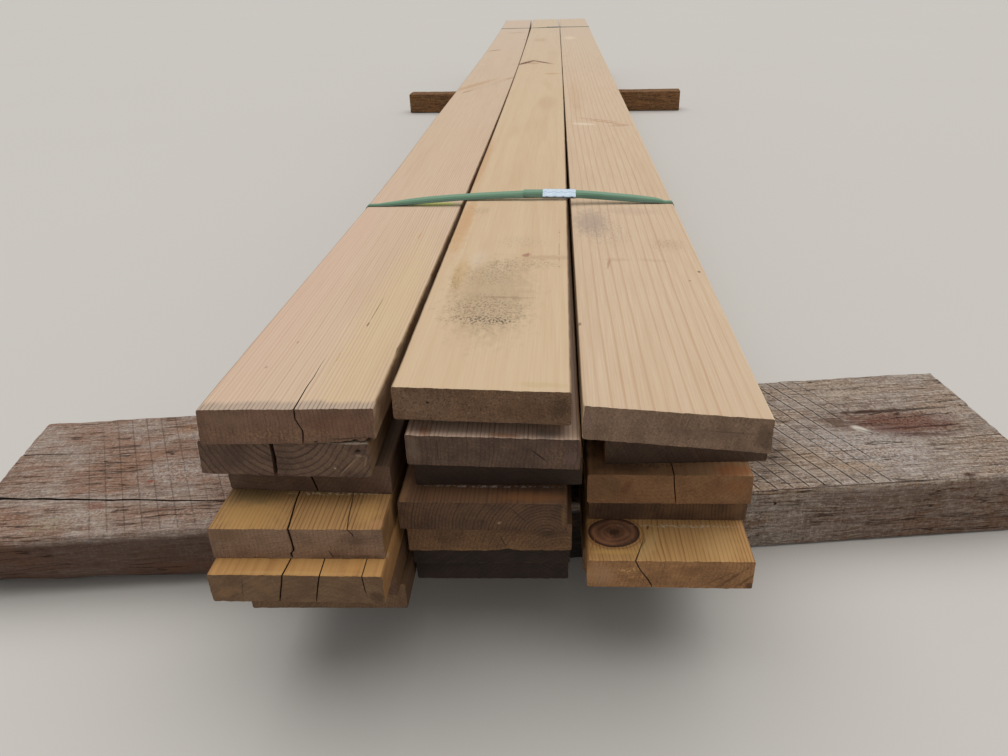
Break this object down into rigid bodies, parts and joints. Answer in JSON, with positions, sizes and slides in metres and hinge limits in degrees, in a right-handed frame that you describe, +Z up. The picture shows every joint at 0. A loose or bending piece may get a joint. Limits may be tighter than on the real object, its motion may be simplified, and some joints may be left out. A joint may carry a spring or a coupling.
{
  "type": "strapped lumber stack",
  "caption": "Stack of long dressed softwood boards in three columns, ends staggered, held by two straps and lying on two rough timber bearers.",
  "frame": {"origin": "on the floor, under the middle of the whole stack's bounding box", "axes": "+X across the stack to the right as seen from the near ends, +Y along the boards away from the near ends, +Z up"},
  "size_m": [1.5504, 5.656, 0.3937],
  "materials": {
    "board_wood": "dressed, lightly weathered",
    "bearer_wood": "rough sawn, silvered by weather",
    "strap_plastic": "embossed strapping",
    "seal_metal": "galvanised, crimped"
  },
  "bodies": {
    "root": {"bearer_back": "bearer_wood", "bearer_front": "bearer_wood", "board_left_1": "board_wood", "board_left_2": "board_wood", "board_left_3": "board_wood", "board_left_4": "board_wood", "board_left_5": "board_wood", "board_left_6": "board_wood", "board_left_7": "board_wood", "board_middle_1": "board_wood", "board_middle_2": "board_wood", "board_middle_3": "board_wood", "board_middle_4": "board_wood", "board_middle_5": "board_wood", "board_middle_6": "board_wood", "board_middle_7": "board_wood", "board_right_1": "board_wood", "board_right_2": "board_wood", "board_right_3": "board_wood", "board_right_4": "board_wood", "board_right_5": "board_wood", "board_right_6": "board_wood", "board_right_7": "board_wood", "seal_back": "seal_metal", "seal_front": "seal_metal", "strap_back": "strap_plastic", "strap_front": "strap_plastic"}
  },
  "joints": []
}
